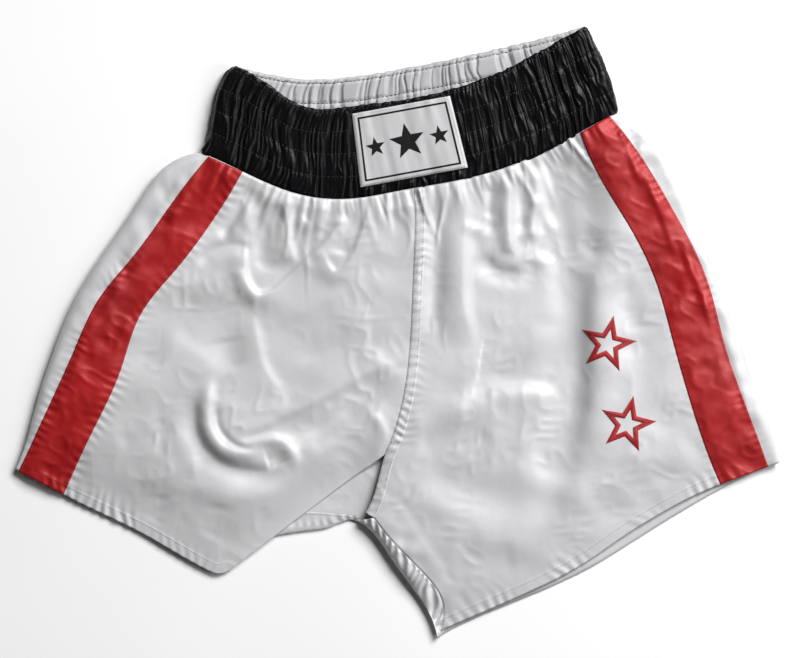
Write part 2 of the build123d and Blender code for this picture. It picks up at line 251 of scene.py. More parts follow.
shell_front = flat_loops("waistband_shell", 17)[0]
shell_back = flat_loops("waistband_shell", 0, -1)[0]
front_right = flat_loops("front_right_panel", 17)[0]
front_left = flat_loops("front_left_panel", 17)[0]
tucked = flat_loops("front_right_panel", 13)[0]
back_right = flat_loops("back_right_panel", 0, -1)[0]
back_left = flat_loops("back_left_panel", 0, -1)[0]
stripe_right = flat_loops("right_side_stripe", 17.8)[0]
stripe_left = flat_loops("left_side_stripe", 17.8)[0]
label_outline = top_loops("waist_label")[0]

band_front_top = part_of(shell_front, WAIST_LEFT_TOP, WAIST_RIGHT_TOP)[::-1]
band_front_low = part_of(shell_front, WAIST_RIGHT_LOW, WAIST_LEFT_LOW)
band_back_top = part_of(shell_back, WAIST_LEFT_TOP, WAIST_RIGHT_TOP)[::-1]
band_back_low = part_of(shell_back, WAIST_RIGHT_LOW, WAIST_LEFT_LOW)
band_right_end = part_of(shell_front, WAIST_RIGHT_TOP, WAIST_RIGHT_LOW)
band_left_end = part_of(shell_front, WAIST_LEFT_LOW, WAIST_LEFT_TOP)[::-1]

right_side = part_of(front_right, RIGHT_SIDE_TOP, RIGHT_SIDE_HEM)
right_front_hem = part_of(front_right, RIGHT_SIDE_HEM, PLEAT_TIP)
right_front_top = part_of(front_right, RISE_TOP, RIGHT_SIDE_TOP)[::-1]
rise = part_of(front_right, RISE_PLEAT, RISE_TOP)[::-1]
pleat_fold = part_of(front_right, PLEAT_TIP, RISE_PLEAT)[::-1]

left_side = part_of(front_left, LEFT_SIDE_HEM, LEFT_SIDE_TOP)[::-1]
left_front_hem = part_of(front_left, LEFT_INSEAM_HEM, LEFT_SIDE_HEM)
left_front_top = part_of(front_left, LEFT_SIDE_TOP, RISE_TOP)[::-1]
left_front_inner = part_of(front_left, RISE_PLEAT, LEFT_INSEAM_HEM)
left_inseam = part_of(front_left, CROTCH, LEFT_INSEAM_HEM)

rise_low = part_of(tucked, CROTCH, RISE_PLEAT)[::-1]
right_inseam = part_of(tucked, RIGHT_TUCK_HEM, CROTCH)[::-1]
right_fold = part_of(back_right, WAIST_RIGHT_LOW, RIGHT_FOLD_HEM)
left_fold = part_of(back_left, LEFT_FOLD_HEM, WAIST_LEFT_LOW)[::-1]
right_inner_fold = part_of(back_right, RIGHT_BACK_HEM_IN, BACK_CROTCH)[::-1]
left_inner_fold = part_of(back_left, BACK_CROTCH, LEFT_BACK_HEM_IN)
right_back_hem = part_of(back_right, RIGHT_FOLD_HEM, RIGHT_BACK_HEM_IN)
left_back_hem = part_of(back_left, LEFT_BACK_HEM_IN, LEFT_FOLD_HEM)
right_back_top = part_of(back_right, BACK_RISE_TOP, WAIST_RIGHT_LOW)[::-1]
left_back_top = part_of(back_left, WAIST_LEFT_LOW, BACK_RISE_TOP)[::-1]
back_rise = part_of(back_right, BACK_CROTCH, BACK_RISE_TOP)[::-1]
label_corners = corners_of(label_outline)
OUTER_EDGES = [right_fold, left_fold, left_inner_fold]

# ---------------------------------------------------------------- folds in the front

# Each fold is (height, width on its left, width on its right, points), in mm. A height below 0 is a valley.
# A fold is traced from one end to the other, and fades out at both ends. Points are places in the plan.
RIGHT_LEG_FOLDS = [
    # The strip of the back that wraps round to the front.
    (3.6, 4, 6, [(-204, 184), (-218, 158), (-234, 128), (-246, 112)]),
    (3.2, 4, 5, [(-222, 168), (-243, 138), (-262, 108)]),
    (2.6, 4, 6, [(-262, 112), (-285, 75), (-303, 40)]),
    (2.4, 5, 5, [(-318, 20), (-338, -22), (-352, -60)]),
    # The deep pocket below the waistband, its sharp lower rim and the ridge on its far side.
    (7.0, 4, 16, [(-163, 112), (-162, 66), (-158, 49), (-148, 39), (-134, 41), (-118, 54), (-101, 70),
                  (-80, 88), (-61, 111), (-46, 134)]),
    (-7.0, 12, 10, [(-146, 152), (-145, 110), (-143, 78), (-139, 58)]),
    (6.5, 5, 12, [(-116, 158), (-116, 120), (-115, 92), (-108, 68)]),
    # Gathers that run to the stripe.
    (5.5, 7, 8, [(-136, 156), (-148, 132), (-166, 112), (-184, 100)]),
    (-6.0, 6, 8, [(-151, 158), (-164, 136), (-180, 110), (-190, 98)]),
    (-5.0, 9, 6, [(-152, 84), (-172, 92), (-196, 86), (-214, 70)]),
    (4.0, 5, 8, [(-168, 70), (-164, 56), (-154, 40), (-144, 33)]),
    # Smaller pockets towards the middle.
    (4.0, 4, 9, [(-104, 128), (-99, 116), (-91, 114), (-82, 128), (-76, 142)]),
    (5.5, 4, 12, [(-84, 90), (-72, 67), (-64, 63), (-54, 69), (-46, 81), (-38, 102), (-31, 124),
                  (-26, 142)]),
    (-4.0, 10, 10, [(-62, 118), (-60, 98), (-62, 80)]),
    (4.0, 6, 9, [(-92, 74), (-78, 96), (-64, 110), (-52, 122)]),
    (2.6, 14, 14, [(-18, 118), (-26, 80), (-44, 40), (-50, 20)]),
    # Soft shapes in the middle of the leg.
    (4.0, 7, 20, [(-157, 28), (-150, -10), (-144, -36), (-128, -60), (-112, -70)]),
    (-3.6, 15, 15, [(-182, -4), (-178, -26), (-172, -44)]),
    (3.0, 12, 18, [(-250, -2), (-226, -18), (-205, -34), (-198, -52)]),
    (2.6, 12, 22, [(-258, 30), (-230, 44), (-200, 50), (-176, 62)]),
    (3.0, 22, 16, [(-70, 50), (-56, 20), (-40, 6), (-24, 4)]),
    (-2.4, 18, 20, [(-110, 20), (-96, -10), (-86, -34)]),
    # The hook-shaped fold low on the leg.
    (9.0, 7, 9, [(-196, -44), (-200, -64), (-202, -82), (-199, -104), (-188, -121), (-172, -129),
                 (-150, -130), (-136, -131)]),
    (-8.0, 7, 13, [(-214, -62), (-216, -84), (-214, -106), (-204, -126), (-182, -143), (-157, -149),
                   (-135, -149), (-118, -142)]),
    (-4.0, 4, 4, [(-191, -72), (-191, -96), (-182, -112), (-166, -122), (-148, -124)]),
    (6.5, 6, 8, [(-186, -116), (-160, -119), (-134, -114), (-118, -119), (-110, -133), (-112, -150)]),
    (-5.0, 9, 9, [(-140, -138), (-130, -136), (-124, -144)]),
    # The long fold that runs up to the seam, and the hollow below it.
    (7.0, 16, 8, [(-186, -115), (-157, -104), (-120, -86), (-82, -68), (-45, -48), (-14, -34), (8, -28)]),
    (-7.0, 14, 17, [(-140, -106), (-104, -106), (-72, -98), (-48, -82), (-24, -58), (0, -40)]),
    (5.0, 12, 14, [(-112, -126), (-84, -124), (-58, -106), (-32, -90), (-6, -74)]),
    (3.6, 5, 8, [(-34, -86), (-20, -94), (-14, -108), (-18, -124), (-30, -142)]),
    # Low folds above the hem.
    (2.6, 12, 9, [(-270, -168), (-258, -158), (-232, -147), (-204, -140)]),
    (2.8, 12, 10, [(-262, -158), (-217, -167), (-177, -175), (-145, -171), (-116, -158)]),
    (-2.4, 10, 12, [(-252, -170), (-254, -188), (-262, -204)]),
    (-2.4, 14, 16, [(-186, -180), (-190, -200), (-200, -222)]),
    (-3.0, 14, 18, [(-300, -120), (-262, -112), (-236, -96)]),
]
LEFT_LEG_FOLDS = [
    # The strip of the back that wraps round to the front.
    (3.4, 5, 4, [(232, 222), (246, 190), (258, 156)]),
    (2.6, 5, 4, [(258, 178), (279, 126), (296, 78)]),
    (2.4, 5, 4, [(300, 92), (322, 42), (336, -4)]),
    (2.2, 4, 4, [(344, 6), (362, -44), (374, -92)]),
    # Long gathers below the waistband.
    (6.0, 9, 20, [(78, 166), (71, 136), (69, 98), (68, 60), (69, 28), (74, 4), (78, -20)]),
    (-4.0, 11, 9, [(44, 158), (42, 110), (40, 50), (36, -10)]),
    (6.0, 6, 9, [(117, 170), (118, 138), (117, 105), (121, 88), (127, 80)]),
    (-4.5, 8, 8, [(98, 160), (96, 130), (98, 100)]),
    (6.0, 7, 8, [(145, 180), (149, 151), (144, 120), (144, 106), (152, 92)]),
    (-4.0, 8, 8, [(132, 168), (131, 130), (133, 100)]),
    (4.0, 7, 7, [(147, 146), (158, 120), (170, 102)]),
    (3.0, 5, 7, [(70, 118), (80, 109), (92, 112), (98, 128)]),
    # The step below the gathers.
    (-5.0, 9, 12, [(86, 84), (102, 67), (121, 59), (139, 63), (152, 82)]),
    (3.2, 12, 14, [(156, 86), (160, 60), (164, 30), (166, 4)]),
    # The long valley past the stars.
    (-12.5, 21, 24, [(156, 262), (164, 206), (168, 120), (174, 81), (182, 39), (183, -16), (184, -60),
                     (178, -100), (168, -146), (152, -196), (130, -236)]),
    (6.5, 26, 17, [(204, 250), (220, 190), (234, 140), (230, 90), (216, 40), (212, -10), (212, -60),
                   (204, -110), (190, -150)]),
    (-3.4, 12, 12, [(190, 190), (196, 150), (203, 100), (206, 60)]),
    # The crease that crosses the leg, with the hollow above it.
    (-5.5, 26, 12, [(70, -48), (84, -56), (102, -52), (128, -49), (158, -50), (182, -54)]),
    (2.6, 8, 14, [(70, -66), (86, -77), (102, -68), (124, -65), (150, -66), (178, -70)]),
    (2.8, 12, 16, [(8, -98), (40, -91), (66, -82), (84, -80)]),
    (-2.6, 16, 16, [(16, -122), (44, -116), (74, -108), (104, -106)]),
    # Soft diagonals lower down.
    (2.6, 18, 22, [(0, -168), (40, -180), (80, -206), (112, -214)]),
    (-2.6, 18, 18, [(26, -150), (66, -160), (108, -178), (140, -204)]),
    (2.6, 18, 20, [(120, -128), (150, -160), (186, -176), (216, -172)]),
    (-2.2, 16, 18, [(60, -226), (96, -240), (130, -238)]),
    (2.4, 16, 16, [(236, -120), (262, -136), (292, -132), (316, -116)]),
    (-2.2, 14, 18, [(236, 60), (250, 20), (262, -30)]),
]


def gather_folds(edge, start, end, seed, size_by):
    """Short folds that run down from a stretch of the waistband's lower edge, at irregular steps."""
    random = np.random.default_rng(seed)
    line = resample(edge, np.linspace(start, end, 240))
    size = length(line)
    folds, at = [], 4.0
    while at < size - 3:
        k = min(int(at / size * 239), 237)
        along = (line[k + 2] - line[k]) / np.linalg.norm(line[k + 2] - line[k])
        down = np.array([along[1], -along[0]])
        reach = random.uniform(12, 44) * size_by
        lean = random.uniform(-0.22, 0.22)
        bend = random.uniform(-0.1, 0.1)
        middle = line[k] + reach * 0.5 * (down + lean * along)
        tip = line[k] + reach * (down + (lean + bend) * along)
        narrow = random.uniform(1.6, 3.0) * size_by
        folds.append((random.uniform(0.7, 1.9) * size_by, narrow, narrow * random.uniform(0.8, 2.0),
                      [line[k], middle, tip]))
        at += random.uniform(4.5, 10.5) * size_by
    return folds


def add_folds(height, points, folds, fade_start=0.22, fade_end=0.22, cap=2.4):
    """Adds folds to the heights of points."""
    for rise_by, left_width, right_width, corners in folds:
        line = through(corners)
        reach = cap * max(left_width, right_width)
        near = np.all((points > line.min(0) - reach) & (points < line.max(0) + reach), axis=1)
        if not near.any():
            continue
        distance, side, along = measure(points[near], line)
        share = along / length(line)
        fade = smooth((1 - share) / fade_end)
        if fade_start:
            fade = fade * smooth(share / fade_start)
        width = np.where(side > 0, left_width, right_width)
        height[near] += rise_by * fade * np.exp(-((distance / width) ** 2))


def pucker(points, line, amount, pitch, reach, seed, lean=0.0):
    """Short wrinkles across a seam, strongest at the seam."""
    distance, side, along = measure(points, line)
    phase = along / pitch + lean * side * distance / pitch
    phase += 0.4 * noise(along / (2.3 * pitch), distance / 14, seed)
    uneven = np.clip(0.55 + 0.75 * noise(along / 24, 0 * along, seed + 1), 0.05, 1.3)
    strength = amount * uneven * np.exp(-((distance / (reach * (0.7 + 0.5 * uneven))) ** 2))
    return strength * np.cos(2 * math.pi * phase)


def edge_distance(points):
    """Distance to the nearest outer edge at which the front turns under."""
    return np.min([measure(points, edge)[0] for edge in OUTER_EDGES], axis=0)


def rounded(distance, turn=TURN):
    """0 at an outer edge and 1 once the cloth is clear of it, as a quarter of an ellipse."""
    return np.sqrt(np.clip(1 - (1 - np.clip(distance / turn, 0, 1)) ** 2, 0, 1))


def front_height(points, layer=FRONT_LEVEL):
    """Height of the front of the shorts over points in the plan."""
    points = np.asarray(points, float)
    folds = np.zeros(len(points))
    add_folds(folds, points, [(RIGHT_FOLDS * fold[0], *fold[1:]) for fold in RIGHT_LEG_FOLDS])
    add_folds(folds, points, [(LEFT_FOLDS * fold[0], *fold[1:]) for fold in LEFT_LEG_FOLDS])
    gathers = gather_folds(band_front_low, 0.02, 0.98, 11, 1.0)
    gathers += gather_folds(band_front_low, 0.04, 0.96, 23, 1.8)
    add_folds(folds, points, gathers, fade_start=0.0, fade_end=0.8)
    folds = FOLD_LIMIT * np.tanh(folds / FOLD_LIMIT)
    x, y = points.T
    folds += 1.6 * noise(x / 74, y / 62, 3) + 0.9 * noise((x + 0.4 * y) / 31, (y - 0.3 * x) / 26, 4)
    bent = 9 * noise(x / 33, y / 29, 12)
    folds += 0.7 * (1 - 1.8 * np.abs(noise((x + bent) / 38, (y - bent) / 30, 13))) * np.clip(
        0.5 + noise(x / 55, y / 48, 14), 0, 1.2
    )
    folds += 0.5 * (1 - 1.8 * np.abs(noise((x - bent) / 14, (y + bent) / 12, 15))) * np.clip(
        0.4 + noise(x / 37, y / 41, 16), 0, 1.2
    )

    seam = measure(points, band_front_low)[0]
    drift = 13 * noise(x / 27, y / 33, 18)
    rims = np.clip(1 - 2.6 * np.abs(noise((x + drift) / 21, (y - 0.5 * drift) / 52, 19)), -0.4, 1)
    folds += 1.5 * rims * np.exp(-((seam / 75) ** 2)) * np.clip(0.5 + noise(x / 41, y / 60, 21), 0, 1.2)

    clear = edge_distance(points)
    wrap = 1 - smooth((clear - 34) / 12)
    folds += 1.5 * wrap * noise((x + 0.5 * y) / 17, (y - 0.5 * x) / 15, 17)
    folds *= 0.45 + 0.55 * smooth(clear / 24)
    hem = np.minimum(measure(points, right_front_hem)[0], measure(points, left_front_hem)[0])
    pleat, _, pleat_along = measure(points, pleat_fold)
    folds *= 0.45 + 0.55 * smooth(hem / 34)
    folds *= 0.75 + 0.25 * smooth(seam / 14)
    folds *= 0.3 + 0.7 * smooth(pleat / 22)
    level = HEM_LEVEL + (layer - HEM_LEVEL) * smooth(0.12 + hem / 95)
    level += 2.0 * np.exp(-seam / 16) - 1.2 * (1 - smooth(seam / 3))
    level -= np.maximum(level - PLEAT_LEVEL, 0) * (1 - smooth(pleat / 42)) * smooth(pleat_along / 70)
    height = MIDDLE + (level + folds - MIDDLE) * rounded(clear)
    height += pucker(points, right_side_edge_out, 0.5, 8.5, 8, 31) * rounded(clear)
    height += pucker(points, right_side_edge_in, 0.4, 9.5, 8, 32)
    height += pucker(points, left_side_edge_in, 0.45, 8.0, 8, 33)
    height += pucker(points, left_side_edge_out, 0.5, 8.0, 8, 34) * rounded(clear)
    height += pucker(points, rise, 0.4, 9.0, 8, 35)
    height += pucker(points, right_front_hem, 0.8, 11.0, 13, 36, 0.3)
    height += pucker(points, left_front_hem, 0.55, 12.0, 12, 37, 0.3)
    height += 0.45 * (1 - smooth((hem - HEM_STITCH) / 1.2))
    return np.maximum(height, LOWEST_FRONT)


right_side_edge_out = part_of(stripe_right, (-200, 186), (-402, -148))
right_side_edge_in = part_of(stripe_right, (-354, -173), (-163, 171))[::-1]
left_side_edge_in = part_of(stripe_left, (194, 211), (343, -162))
left_side_edge_out = part_of(stripe_left, (394, -143), (225, 229))[::-1]


def back_height(points):
    """Height of the back of the shorts, which lies on the floor, over points in the plan."""
    points = np.asarray(points, float)
    x, y = points.T
    clear = edge_distance(points)
    waves = 0.5 * noise(x / 47, y / 39, 6) + 0.3 * noise(x / 19, y / 23, 7)
    height = MIDDLE + (BACK_LEVEL + waves * smooth(clear / 30) - MIDDLE) * rounded(clear)
    inner = measure(points, right_inner_fold)[0]
    return TUCKED_EDGE + (height - TUCKED_EDGE) * rounded(inner, 6)


def tucked_height(points):
    """Height of the layer that comes out below the pleat."""
    points = np.asarray(points, float)
    x, y = points.T
    inner, _, along = measure(points, right_inner_fold)
    waves = 0.9 * noise(x / 14, y / 20, 9) * smooth(inner / 14)
    height = TUCKED_EDGE + (TUCKED_LEVEL + waves - TUCKED_EDGE) * rounded(inner, 7)
    phase = along / 9 + 0.8 * noise(along / 17, 0 * x, 8)
    ropes = 0.7 * np.exp(-((inner / 9) ** 2)) * np.cos(2 * math.pi * phase)
    return height + ropes * smooth(inner / 3)


# ---------------------------------------------------------------- objects


def raised(grid, height):
    """A plan grid with heights added."""
    flat = grid.reshape(-1, 2)
    return np.dstack([grid, height(flat).reshape(grid.shape[:2])])


def grid_faces(rows, columns, first=0, wrap=False):
    """Faces of a grid of points numbered row by row."""
    faces = []
    for j in range(rows - 1):
        for i in range(columns if wrap else columns - 1):
            k = (i + 1) % columns
            low, high = first + j * columns, first + (j + 1) * columns
            faces.append((low + i, high + i, high + k, low + k))
    return faces


def make_object(name, points, faces, material, weld=0.0):
    """A smooth mesh object from points in mm."""
    mesh = bpy.data.meshes.new(name)
    mesh.from_pydata((np.asarray(points) * MM).tolist(), [], faces)
    if weld:
        work = bmesh.new()
        work.from_mesh(mesh)
        bmesh.ops.remove_doubles(work, verts=work.verts, dist=weld * MM)
        work.to_mesh(mesh)
        work.free()
    mesh.polygons.foreach_set("use_smooth", [True] * len(mesh.polygons))
    mesh.materials.append(material)
    made = bpy.data.objects.new(name, mesh)
    bpy.context.scene.collection.objects.link(made)
    return made


def sheet_of(name, grids, material, thickness=CLOTH, weld=0.05):
    """A cloth object from one or more grids of points whose outer sides face up."""
    points, faces = [], []
    for grid in grids:
        rows, columns = grid.shape[:2]
        faces += grid_faces(rows, columns, sum(len(p) for p in points))
        points.append(grid.reshape(-1, 3))
    made = make_object(name, np.vstack(points), faces, material, weld)
    add_thickness(made, thickness)
    return made


def add_thickness(made, thickness, offset=-1):
    """Gives a sheet its thickness: inwards for an offset of -1, and both ways for 0."""
    solid = made.modifiers.new("thickness", "SOLIDIFY")
    solid.thickness = thickness * MM
    solid.offset = offset
    solid.use_even_offset = False


def stitches(name, rows, material, pitch=3.4, stitch=2.5, thick=0.32):
    """Rows of separate stitches. Each row is a line of points in space that the thread lies on."""
    ring = 6
    points, faces = [], []
    for row in rows:
        size = length(row)
        count = max(1, int(size / pitch))
        for k in range(count):
            shares = (k + 0.5 + np.array([-0.5, -0.38, 0, 0.38, 0.5]) * stitch / pitch) / count
            spine = resample(row, np.clip(shares, 0, 1))
            spine[:, 2] += np.array([-0.5, 0.12, 0.25, 0.12, -0.5])
            along = spine[-1] - spine[0]
            along[2] = 0
            along /= max(np.linalg.norm(along), 1e-6)
            aside = np.array([-along[1], along[0], 0])
            first = len(points)
            for centre, radius in zip(spine, (0.6, 1, 1, 1, 0.6)):
                for turn in np.arange(ring) * 2 * math.pi / ring:
                    swing = aside * math.cos(turn) + np.array([0, 0, math.sin(turn)])
                    points.append(centre + thick * radius * swing)
            for j in range(4):
                for i in range(ring):
                    low, high, step = first + j * ring, first + (j + 1) * ring, (i + 1) % ring
                    faces.append((low + i, low + step, high + step, high + i))
            faces.append(tuple(range(first, first + ring))[::-1])
            faces.append(tuple(range(first + 4 * ring, first + 5 * ring)))
    return make_object(name, points, faces, material)


# ---------------------------------------------------------------- materials


class Nodes:
    """A procedural material, built node by node."""

    def __init__(self, name):
        self.material = bpy.data.materials.new(name)
        self.material.use_nodes = True
        self.tree = self.material.node_tree
        self.shader = next(n for n in self.tree.nodes if n.type == "BSDF_PRINCIPLED")
        self.place = self.add("ShaderNodeTexCoord").outputs["Object"]

    def add(self, kind, inputs=None, **settings):
        """A node with settings, whose inputs are values or other nodes' outputs."""
        node = self.tree.nodes.new(kind)
        for key, value in settings.items():
            setattr(node, key, value)
        for key, value in (inputs or {}).items():
            if isinstance(value, bpy.types.NodeSocket):
                self.tree.links.new(value, node.inputs[key])
            else:
                node.inputs[key].default_value = value
        return node

    def noise(self, scale, detail=2.0, rough=0.5, place=None):
        """Noise in metres of the object's own space."""
        inputs = {"Vector": place or self.place, "Scale": scale, "Detail": detail, "Roughness": rough}
        return self.add("ShaderNodeTexNoise", inputs).outputs["Fac"]

    def stretched(self, scale, turn=0.0):
        """The place scaled differently along each axis, after a turn about Z."""
        return self.add(
            "ShaderNodeMapping", {"Vector": self.place, "Scale": scale, "Rotation": (0, 0, turn)}
        ).outputs["Vector"]

    def threads(self, per_metre, turn):
        """Fine parallel threads."""
        inputs = {"Vector": self.stretched((1, 1, 1), turn), "Scale": per_metre}
        inputs.update({"Distortion": 0.6, "Detail": 1.0})
        return self.add("ShaderNodeTexWave", inputs, bands_direction="X").outputs["Fac"]

    def math(self, operation, a, b):
        """A sum, product or other simple operation."""
        return self.add("ShaderNodeMath", {0: a, 1: b}, operation=operation).outputs[0]

    def ramp(self, fac, stops):
        """Colours from a number."""
        node = self.add("ShaderNodeValToRGB", {"Fac": fac})
        band = node.color_ramp
        while len(band.elements) < len(stops):
            band.elements.new(0.5)
        for element, (place, colour) in zip(band.elements, stops):
            element.position = place
            element.color = (*colour, 1)
        return node.outputs["Color"]

    def bump(self, height, distance, strength=1.0, under=None):
        """A bump whose distance is in metres."""
        inputs = {"Height": height, "Distance": distance, "Strength": strength}
        if under:
            inputs["Normal"] = under
        return self.add("ShaderNodeBump", inputs).outputs["Normal"]

    def finish(self, colour=None, rough=None, normal=None, **constants):
        """Links the shader's colour, roughness and normal, and sets its other values."""
        for key, value in (("Base Color", colour), ("Roughness", rough), ("Normal", normal)):
            if isinstance(value, bpy.types.NodeSocket):
                self.tree.links.new(value, self.shader.inputs[key])
            elif value is not None:
                self.shader.inputs[key].default_value = value
        for key, value in constants.items():
            self.shader.inputs[key.replace("_", " ")].default_value = value
        return self.material


def satin(name, dark, light, rough_low, rough_high, crease=0.00018, **constants):
    """Satin: smooth floats one way, fine threads across, faint creases and slightly uneven dye."""
    nodes = Nodes(name)
    patchy = nodes.noise(14, 3.0, 0.55)
    colour = nodes.ramp(patchy, [(0.3, dark), (0.72, light)])
    floats = nodes.threads(1500, 0.12)
    weft = nodes.threads(2600, 0.12 + math.pi / 2)
    slubs = nodes.noise(1.0, 2.0, 0.6, nodes.stretched((60, 900, 60), 0.12))
    weave = nodes.math("ADD", nodes.math("MULTIPLY", floats, 0.6), nodes.math("MULTIPLY", weft, 0.4))
    rough = nodes.add(
        "ShaderNodeMapRange", {"Value": slubs, "To Min": rough_low, "To Max": rough_high}
    ).outputs["Result"]
    creases = nodes.bump(nodes.noise(120, 3.0, 0.55, nodes.stretched((1, 0.55, 1), 0.5)), crease)
    normal = nodes.bump(weave, 0.00003, 0.6, nodes.bump(slubs, 0.00004, 0.7, creases))
    return nodes.finish(colour, rough, normal, **constants)


def thread(name, colour, rough=0.45):
    """Sewing or embroidery thread: fine twisted strands."""
    nodes = Nodes(name)
    tint = nodes.ramp(nodes.noise(400), [(0.3, tuple(0.75 * c for c in colour)), (0.7, colour)])
    strands = nodes.threads(3000, 0.8)
    return nodes.finish(tint, rough, nodes.bump(strands, 0.00005), Sheen_Weight=0.2)


def woven(name, dark, light, **constants):
    """Matt woven cloth with plain crossing threads."""
    nodes = Nodes(name)
    warp, weft = nodes.threads(1300, 0.2), nodes.threads(1300, 0.2 + math.pi / 2)
    weave = nodes.math("MULTIPLY", warp, weft)
    colour = nodes.ramp(nodes.noise(60, 4.0), [(0.25, dark), (0.75, light)])
    return nodes.finish(colour, 0.62, nodes.bump(weave, 0.00008), **constants)


WHITE_SATIN = satin("white_satin", (0.58, 0.58, 0.592), (0.64, 0.64, 0.652), 0.44, 0.58, Metallic=0.1,
                    Anisotropic=0.4, Specular_IOR_Level=0.42)
RED_SATIN = satin("red_satin", (0.34, 0.008, 0.010), (0.46, 0.015, 0.017), 0.42, 0.54, Metallic=0.12,
                  Anisotropic=0.4, Specular_IOR_Level=0.5)
BLACK_SATIN = satin("black_satin", (0.0025, 0.0025, 0.003), (0.006, 0.006, 0.007), 0.2, 0.32,
                    Specular_IOR_Level=0.17)
# The lining's colour is set darker than the white satin's: painted shade for the recess inside the
# waistband where it lies.
LINING_SATIN = satin("lining_satin", (0.4, 0.4, 0.41), (0.48, 0.48, 0.49), 0.4, 0.5, Specular_IOR_Level=0.4)
WHITE_THREAD = thread("white_thread", (0.5, 0.5, 0.52))
BLACK_THREAD = thread("black_thread", (0.012, 0.012, 0.013))
RED_THREAD = thread("red_thread", (0.45, 0.01, 0.014), 0.35)
LABEL_CLOTH = satin("label_cloth", (0.54, 0.54, 0.55), (0.64, 0.64, 0.65), 0.32, 0.44, Metallic=0.15)
LABEL_BLACK = woven("label_black", (0.006, 0.006, 0.007), (0.014, 0.014, 0.015), Specular_IOR_Level=0.15)
ELASTIC = woven("elastic", (0.6, 0.6, 0.57), (0.74, 0.74, 0.72), Sheen_Weight=0.15)


# ---------------------------------------------------------------- legs


def build_front_right():
    """The right leg's front, with the pleat at its inner corner and the part that is folded under."""
    main_rows, pleat_rows, columns = 130, 110, 200
    upper, lower = length(rise), length(pleat_fold)
    turn_at = upper / (upper + lower)
    down = np.concatenate([np.linspace(0, turn_at, main_rows), np.linspace(turn_at, 1, pleat_rows)[1:]])
    inner = np.vstack([rise, pleat_fold[1:]])
    plan = patch(right_side, inner, right_front_top, right_front_hem, even(columns), down)
    main = raised(plan, front_height)

    edge = main[main_rows - 1:, -1]
    shares = (down[main_rows - 1:] - turn_at) / (1 - turn_at)
    folded_in = resample(part_of(tucked, RISE_PLEAT, PLEAT_INSIDE_HEM), shares)
    outer = np.vstack([rise_low, right_inseam[1:]])
    outside = resample(outer, shares)
    flap_columns = 60
    hem_in = resample(np.array([PLEAT_INSIDE_HEM, RIGHT_TUCK_HEM], float), even(flap_columns))
    top_in = np.repeat(np.array([RISE_PLEAT], float), flap_columns, axis=0)
    under = patch(folded_in, outside, top_in, hem_in, even(flap_columns), shares)
    drop = smooth(shares * 6)[:, None]
    tuck_height = tucked_height(under.reshape(-1, 2)).reshape(under.shape[:2])
    seam_height = front_height(outside)
    tuck_height = tuck_height * drop + seam_height[:, None] * (1 - drop)
    towards = even(flap_columns)[None, :]
    on_rise = smooth(1 - (shares[:, None] - length(rise_low) / length(outer)) * 8)
    tuck_height += (seam_height[:, None] - tuck_height) * smooth((towards - 0.55) / 0.45) * on_rise
    tuck_height = np.minimum(tuck_height, np.maximum(edge[:, 2:3] - 2.5 * drop, 3))
    flap = np.dstack([under, tuck_height])

    roll = []
    away = np.stack([-np.gradient(edge[:, 1]), np.gradient(edge[:, 0])], 1)
    away /= np.linalg.norm(away, axis=1)[:, None]
    gap = (edge[:, 2] - tuck_height[:, 0]) / 2
    for angle in np.linspace(0, math.pi, 6):
        out = 0.6 * gap * math.sin(angle) * drop[:, 0]
        sunk = edge[:, 2] - gap * (1 - math.cos(angle)) / 2
        roll.append(np.column_stack([edge[:, :2] + away * out[:, None], sunk]))
    half = roll[-1]
    for share in np.linspace(0, 1, 8)[1:]:
        flat = half[:, :2] * (1 - share) + folded_in * share
        sunk = half[:, 2] * (1 - share) + (tuck_height[:, 0] + 0.6) * share
        roll.append(np.column_stack([flat, sunk]))
    turned = np.stack(roll, axis=1)
    return sheet_of("front_right_cloth", [main, turned, flap], WHITE_SATIN)


left_front_inner_line = np.vstack([rise, left_front_inner[1:]])
left_front_top_line = np.vstack([rise[:1], left_front_top[1:]])


def build_front_left():
    """The left leg's front, with the felled seam that laps over the right leg's front."""
    columns, rows = even(190), even(240)
    plan = patch(left_front_inner_line, left_side, left_front_top_line, left_front_hem, columns, rows)
    panel = raised(plan, front_height)
    seam = np.vstack([rise, rise_low[1:]])
    rows, columns = 420, 13
    middle = resample(seam, even(rows))
    along = even(rows)[:, None] * length(seam)
    across = np.linspace(-FELL_WIDTH, 0.8, columns)[None, :]
    lines = [moved(middle, offset) for offset in across[0]]
    plan = np.stack(lines, axis=1)
    share = (across + FELL_WIDTH) / FELL_WIDTH
    crown = np.sin(math.pi * np.clip(share, 0.02, 0.98)) ** 0.5
    phase = along / 9.5 + 0.5 * share + 0.5 * noise(along / 31, 0 * along, 41)
    twist = 0.5 + 0.5 * np.cos(2 * math.pi * phase)
    height = front_height(plan.reshape(-1, 2)).reshape(rows, columns)
    uneven = 0.7 + 0.5 * noise(along / 31, share * 2, 42)
    rope = 0.15 + 0.4 * share + (0.3 + 0.95 * twist * uneven) * crown
    fell = np.dstack([plan, height + rope])
    return fell, sheet_of("front_left_cloth", [panel, fell], WHITE_SATIN)


